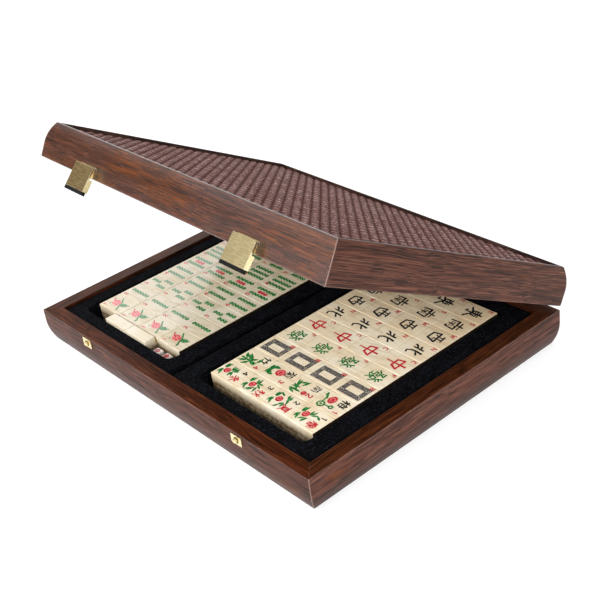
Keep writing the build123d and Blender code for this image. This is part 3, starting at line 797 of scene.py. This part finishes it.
def flower_tile(number):
    """Bloom between two clumps of leaves, with a numeral and a red character."""
    season = ("spring", "summer", "autumn", "winter")[number - 1]
    heart = {1: (-1, -6.2), 2: (-0.6, -5.6), 3: (0.4, -6), 4: (1, -6.4)}[number]
    upper = {
        1: leaves(6.4, 2, (-1.6, -1.6, 122), (-2, -2, 158), (-1.2, -2.4, 190),
                  (-4.6, 2.6, 60), (1.6, -2.2, -10), (2.2, -3, -52), (1.8, -1.2, -30)),
        2: leaves(5.8, 2, (-3.2, 0.8, 170), (-3.6, 0.2, 200), (-4, 1.6, 20), (0.4, 1.2, 5),
                  (0, 0.4, -22), (3.8, -0.6, -32), (-1.8, 0.4, 150), (-5.4, -4.4, 250)),
        3: leaves(7.4, 2, (-3, -4.4, 94), (-2.2, -2.8, 60), (-1.8, -2.4, 190),
                  (-1.2, -3.4, 205), (0.2, -0.8, 15), (1.4, -1.6, -25), (3.2, -3, -42)),
        4: leaves(6.2, 2.1, (-0.6, -2.4, 108), (-0.4, -2.2, 130), (-0.8, -2.6, 168),
                  (-1, -1.4, 150), (0, -2.4, 12), (-0.4, -1.8, 35), (-0.6, -3.2, 190))}[number]
    lower = leaves(6.2, 2, (-0.6, -10.6, 168), (-1, -11.6, 182), (0.2, -10.8, 8),
                   (0.6, -11.8, -6), (-3, -11.8, 150), (2.6, -11.4, 28))
    return together(bloom(*heart, 6.6, 6.2), {
        "green": upper + moved(lower, heart[0] * 0.4, 0),
        "red": moved(characters[season], 4.9, 6.8),
        "black": moved(letters[str(number)], -5.2, 8.9, 1.15)})


def season_tile(number):
    """Plant, a bold character and a red numeral."""
    plant = ("plum", "orchid", "aster", "bamboo")[number - 1]
    red = moved(letters[str(number)], 6.8, 9, 1.1)
    if number == 1:
        picture = together(bloom(-2.6, -3.2, 9.2, 7.2), {
            "green": ring(5.7, -7.2, 5.6, 6, 1.5) + ring(4.4, 2, 3, 3.2, 1.4)
            + oval(5.7, -7.2, 2.4, 2.4)
            + brush(1.4, (-7.2, -12.2, -3.4, -9.4, 2.4, -8.4), (-5.4, -12.6, -1.8, -8),
                    (4.6, 0.4, 5, -4))})
    elif number == 2:
        red = moved(letters["2"], 5, 9.4, 1.3)
        blades = leaves(13, 2.4, (5.8, -12.4, 89), (-5.8, -12.4, 32))
        blades += leaves(9, 2.2, (3.8, -12.4, 104), (6.6, -12, 70), (-5.8, -9.6, 14),
                         (0.4, -12.2, 58), (0.6, -4.8, 158), (-1.6, -9.8, 122))
        picture = together(bloom(5.4, 3.4, 4.6, 4.4), {"green": blades})
    elif number == 3:
        picture = together(bloom(-0.9, -0.4, 8.8, 9), {
            "green": leaves(9, 3.6, (-0.4, -12.8, 128), (0.4, -12.8, 52), (-3.6, -13, 96),
                            (3.6, -12.8, 82), (-5.6, -12.6, 20), (5.8, -12.6, 158))})
    else:
        picture = {"green": brush(2.2, (3.8, 4, 3.2, -12.4))
                   + leaves(8.6, 2.8, (3.6, -4.2, 128), (3.8, -2.6, 74), (3.4, 4.4, 176),
                            (2.8, -4, 214), (2.8, -7, 224), (3, -1.4, 222), (4, -1.8, -38),
                            (4, -5.2, -62), (0, -3.6, 262))}
    return together(picture, {"red": red, "black": moved(characters[plant], -4, 7.4)})


def bird():
    """Bird with an upright body on a bent branch."""
    pink = oval(-0.2, 3.4, 8.2, 10.4, radians(-14))
    red = brush(1.3, (0.6, 7.6, 2.2, 9.6, 4.2, 11.4))
    red += brush(0.8, (-2, 6.4, -2.6, -0.4), (0.6, 7.4, -0.2, -1.2), (2.6, 6.2, 1.8, 0.6))
    green = brush(1.7, (-7, -6, -2.6, -3.2, 2.8, -0.8, 5, 1.8, 7.6, 4.2))
    green += leaves(8.6, 4.4, (-1.4, -2.4, -62), (1.2, -1.8, -88)) + oval(-6.6, -5.6, 3, 2.2)
    green += brush(1.1, (1.4, -6.2, 3, -11))
    return {"pink": pink, "red": red, "green": green, "black": brush(0.7, (-4.8, 7.6, -2.4, 9))}


def bamboo_tile(number):
    """Sticks of the bamboo suit by number, all set a little off the tile's middle."""
    side, third, high, short = 4.7, 6.2, 5.9, 8.2
    corners = [(x, y) for x in (-side, side) for y in (-high, high)]
    spots = {
        2: [(0, high), (0, -high)],
        3: [(0, high), (-side, -high), (side, -high)],
        4: corners,
        5: corners,
        6: [(x, y) for x in (-third, 0, third) for y in (-high, high)],
        7: [(x, y) for x in (-third, 0, third) for y in (-8.2, 0.4)],
        8: [(x, y) for x in (-7.4, -2.6, 2.6, 7.4) for y in (-high, high)],
        9: [(x, y) for x in (-third, third) for y in (-8.6, 0, 8.6)]}
    length = short if number in (7, 9) else stick_length
    reds = {5: [(0, 0)], 7: [(0, 9.2)], 9: [(0, y) for y in (-8.6, 0, 8.6)]}.get(number, [])
    shift = 0.7 if number < 6 else 0.2
    sticks = []
    for x, y in spots[number]:
        slant = 28 if number == 8 and abs(x) < 5 else 0
        sticks.append(bamboo_stick("green", x + shift, y, length, slant if x * y > 0 else -slant))
    sticks += [bamboo_stick("red", x + shift, y, length) for x, y in reds]
    return together(*sticks)


inks = {"grey": (grey_ink, 1), "black": (black_ink, 1), "green": (green_ink, 2),
        "pink": (pink_ink, 3), "red": (red_ink, 4), "pale": (pale_ink, 4)}
index_spot = (-8.0, 10.2)


def marks_for(row, column):
    """Marks of one tile. Columns count from the left end of the case."""
    kind = row.replace("_tiles", "")
    if kind == "flower":
        return flower_tile(tiles_across - column)
    if kind == "season":
        return season_tile(tiles_across - column)
    if kind.startswith("bamboo"):
        index = kind.split("_")[1]
        marks = bird() if index == "1" else bamboo_tile(int(index))
    else:
        index, marks = {
            "white_dragon": ("B", {"grey": white_dragon()}),
            "green_dragon": ("F", {"green": green_dragon}),
            "red_dragon": ("C", {"red": red_dragon}),
            "north": ("N", {"black": north}), "west": ("W", {"black": west}),
            "south": ("S", {"black": south}), "east": ("E", {"black": east})}[kind]
    return together(marks, {"red": moved(letters[index], *index_spot)})


def lay_marks(rows, body, way):
    """Paint the marks on a block of tiles. Way is +1 where a tile's top points along +X."""
    drawn = {ink: [] for ink in inks}
    for row in rows:
        low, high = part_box(row)
        for column in range(tiles_across):
            x = low.x + column * tile_pitch + tile_length / 2
            y = (low.y + high.y) / 2
            for ink, shapes in marks_for(row, column).items():
                for order, shape in enumerate(shapes):
                    lift = high.z + inks[ink][1] * mark_lift + order % stroke_levels * stroke_lift
                    drawn[ink].append([
                        (x + way * b * mm, y - way * a * mm, lift) for a, b in shape])
    for ink, polygons in drawn.items():
        if not polygons:
            continue
        points, faces = [], []
        for polygon in polygons:
            faces.append(list(range(len(points), len(points) + len(polygon))))
            points += polygon
        new_piece(ink + "_marks_" + body, make_mesh("marks", points, faces), body, "tile_ivory",
                  inks[ink][0])


def circle(width):
    return oval(0, 0, width, width, sides=ring_sides)[0]


def band_faces(first, second):
    """Faces between two circles, each given by the number of its first point."""
    faces = []
    for index in range(ring_sides):
        after = (index + 1) % ring_sides
        faces.append([first + index, second + index, second + after, first + after])
    return faces


def fill_pips():
    """Red paint in the sunk pips of the two dice on top."""
    low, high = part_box("dice")
    middle = dice_size / 2
    points, faces = [], []
    for x in (low.x + middle, high.x - middle):
        start = len(points)
        for width, level in ((pip_width, -pip_depth), (pip_width, 0), (pip_rim, 0)):
            points += [(x + a, low.y + middle + b, high.z + level + mark_lift)
                       for a, b in circle(width)]
        faces.append(list(range(start, start + ring_sides)))
        faces += band_faces(start + ring_sides, start + 2 * ring_sides)
    new_piece("dice_pips", make_mesh("pips", points, faces), "tray_left", "tile_ivory", pip_red)


def make_seam():
    """Painted shade: brown line where the blank tiles meet the front row of the left block."""
    low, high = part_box("blank_tiles")
    top, end = high.z + mark_lift, high.x + mark_lift
    near, far = high.y - shade_line_width, high.y
    points = [(low.x, near, top), (end, near, top), (end, far, top), (low.x, far, top),
              (end, near, top - shade_line_drop), (end, far, top - shade_line_drop)]
    mesh = make_mesh("gap_shade_line", points, [(0, 1, 2, 3), (1, 4, 5, 2)])
    new_piece("blank_gap_shade", mesh, "tray_left", "tile_ivory", amber_shade_paint)


def make_recess(side):
    """Painted shadow: dark ring on the strike's plate, round the stud."""
    low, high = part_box("strike_stud_" + side)
    x, z = (low.x + high.x) / 2, (low.z + high.z) / 2
    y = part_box("strike_plate_" + side)[0].y - mark_lift
    points = [(x + a, y, z + b) for width in (high.x - low.x, stud_shadow_width)
              for a, b in circle(width)]
    mesh = make_mesh("stud_shadow_ring", points, band_faces(ring_sides, 0))
    new_piece("strike_stud_shadow_" + side, mesh, "base", "brass", shadow_brass)


lay_marks(honour_rows, "tray_right", 1)
lay_marks(bamboo_rows, "tray_left", -1)
fill_pips()
make_seam()
for side in ("left", "right"):
    make_recess(side)


# Leather

def shut_box(name):
    """Box of a lid node with the lid shut."""
    points = [shut_lid @ vertex.co for vertex in nodes[name].data.vertices]
    low = Vector(min(point[axis] for point in points) for axis in range(3))
    high = Vector(max(point[axis] for point in points) for axis in range(3))
    return low, high


def weave(x, y):
    """Height over the valleys, from 0 to 1, and whether the cross strips are on top."""
    u = (x * cos(weave_turn) + y * sin(weave_turn)) / strip_width
    v = (-x * sin(weave_turn) + y * cos(weave_turn) - weave_shift) / strip_width
    a = u - np.floor(u) - 0.5
    b = v - np.floor(v) - 0.5
    along_u = (np.floor(u) + np.floor(v)) % 2 == 0
    across = np.where(along_u, b, a)
    along = np.where(along_u, a, b)
    crown = np.sqrt(np.clip(1 - (2 * np.abs(across)) ** strip_fullness, 0, 1))
    arch = dip + (1 - dip) * np.cos(pi * along)
    return crown * arch, np.where(along_u, 0.0, 1.0)


def make_woven_leather():
    low, high = shut_box("lid_leather")
    step = strip_width / weave_samples
    across = int(ceil((high.x - low.x) / step)) + 1
    deep = int(ceil((high.y - low.y) / step)) + 1
    x, y = np.meshgrid(np.linspace(low.x, high.x, across), np.linspace(low.y, high.y, deep))
    height, under = weave(x, y)
    z = high.z - strip_relief + strip_relief * height
    top = np.stack([x, y, z], axis=2).reshape(-1, 3)
    index = np.arange(across * deep).reshape(deep, across)
    quads = np.stack([index[:-1, :-1], index[:-1, 1:], index[1:, 1:], index[1:, :-1]], axis=2)
    faces = quads.reshape(-1, 4).tolist()
    rim = [*index[0, :-1], *index[:-1, -1], *index[-1, :0:-1], *index[:0:-1, 0]]
    base, count = len(top), len(rim)
    skirt = np.array([(top[point][0], top[point][1], low.z) for point in rim])
    for place in range(count):
        after = (place + 1) % count
        faces.append([int(rim[after]), int(rim[place]), base + place, base + after])
    faces.append([base + place for place in range(count)][::-1])
    points = [open_lid @ Vector(point) for point in np.concatenate([top, skirt])]
    mesh = make_mesh("woven_leather", points, faces)
    mesh.polygons.foreach_set("use_smooth", [True] * len(faces))
    for label, values in (("relief", height), ("under", under)):
        attribute = mesh.attributes.new(label, "FLOAT", "POINT")
        attribute.data.foreach_set("value", np.concatenate([values.ravel(), np.zeros(count)]))
    new_piece("woven_leather", mesh, "lid", "leather", leather, "lid_leather")


make_woven_leather()


# Stage, light and camera

def seen_directly(tree):
    """One for what the camera, a mirror or glass sees, nought for light that spreads."""
    rays = tree.nodes.new("ShaderNodeLightPath").outputs
    seen = arithmetic(tree, "MAXIMUM", rays["Is Camera Ray"], rays["Is Glossy Ray"])
    return arithmetic(tree, "MAXIMUM", seen, rays["Is Transmission Ray"])


def make_floor():
    """Pale floor. Where it is seen it glows up to white and keeps a soft shadow."""
    corners = [(x * floor_reach, y * floor_reach, 0)
               for x, y in ((-1, -1), (1, -1), (1, 1), (-1, 1))]
    mesh = make_mesh("floor", corners, [(0, 1, 2, 3)])
    floor_piece = bpy.data.objects.new("floor", mesh)
    floor_piece.location.z = -floor_drop
    bpy.context.scene.collection.objects.link(floor_piece)
    material = bpy.data.materials.new("pale_floor")
    material.use_nodes = True
    tree = material.node_tree
    tree.nodes.clear()
    plain = put(tree, "ShaderNodeBsdfDiffuse", {"Color": (0.8, 0.8, 0.8, 1)})
    shadowed = put(tree, "ShaderNodeBsdfDiffuse", {"Color": (0.4, 0.4, 0.4, 1)})
    glow = put(tree, "ShaderNodeEmission", {"Color": white, "Strength": floor_glow})
    seen = put(tree, "ShaderNodeAddShader", {0: shadowed.outputs[0], 1: glow.outputs[0]})
    mixed = put(tree, "ShaderNodeMixShader", {
        0: seen_directly(tree), 1: plain.outputs[0], 2: seen.outputs[0]})
    out = tree.nodes.new("ShaderNodeOutputMaterial")
    tree.links.new(mixed.outputs[0], out.inputs["Surface"])
    mesh.materials.append(material)


def make_world():
    """White room. Mirrors see a dim warm patch to its front left, which keeps metal deep."""
    world = bpy.data.worlds.new("studio")
    world.use_nodes = True
    tree = world.node_tree
    facing = dot(tree, tree.nodes.new("ShaderNodeTexCoord").outputs["Generated"], dim_side)
    dimness = put(tree, "ShaderNodeMapRange", {0: facing, 1: 0.905, 2: 0.96},
                  interpolation_type="SMOOTHSTEP").outputs[0]
    rays = tree.nodes.new("ShaderNodeLightPath").outputs
    mask = arithmetic(tree, "MULTIPLY", dimness, rays["Is Glossy Ray"])
    background = tree.nodes["Background"]
    tree.links.new(blend(tree, mask, white, dim_colour), background.inputs["Color"])
    tree.links.new(between(tree, seen_directly(tree), ambient, 1.0), background.inputs["Strength"])
    bpy.context.scene.world = world


def make_lamp(name, place, size, power, target=lamp_aim, mirrored=False):
    light = bpy.data.lights.new(name, "AREA")
    light.shape = "SQUARE"
    light.size = size
    light.energy = power
    lamp = bpy.data.objects.new(name, light)
    lamp.visible_glossy = mirrored
    lamp.location = place
    lamp.rotation_euler = (Vector(target) - Vector(place)).to_track_quat("-Z", "Y").to_euler()
    bpy.context.scene.collection.objects.link(lamp)


def make_camera():
    """Camera whose axes follow from its azimuth, elevation and roll."""
    level = cos(camera_elevation)
    back = Vector((sin(camera_azimuth) * level, -cos(camera_azimuth) * level,
                   sin(camera_elevation)))
    right = Vector((0, 0, 1)).cross(back).normalized()
    up = back.cross(right)
    turned_right = right * cos(camera_roll) + up * sin(camera_roll)
    turned_up = up * cos(camera_roll) - right * sin(camera_roll)
    place = (turned_right * camera_offset[0] + turned_up * camera_offset[1]
             + back * camera_distance + Vector((0, 0, target_height)))
    data = bpy.data.cameras.new("camera")
    data.lens = focal_share * data.sensor_width
    camera = bpy.data.objects.new("camera", data)
    axes = Matrix((turned_right, turned_up, back)).transposed().to_4x4()
    camera.matrix_world = Matrix.Translation(place) @ axes
    bpy.context.scene.collection.objects.link(camera)
    bpy.context.scene.camera = camera


make_floor()
make_world()
make_lamp("key", (-0.80, -1.40, 1.10), size=0.7, power=37)
make_lamp("top", (0.1, 0.1, 1.9), size=1.2, power=9)
make_lamp("fill", (1.5, -0.6, 0.75), size=1.0, power=21)
make_lamp("back", (-1.4, 1.05, 1.05), size=1.3, power=2, target=(-0.1, 0, 0.05), mirrored=True)
make_camera()
bpy.context.scene.view_settings.view_transform = "Standard"
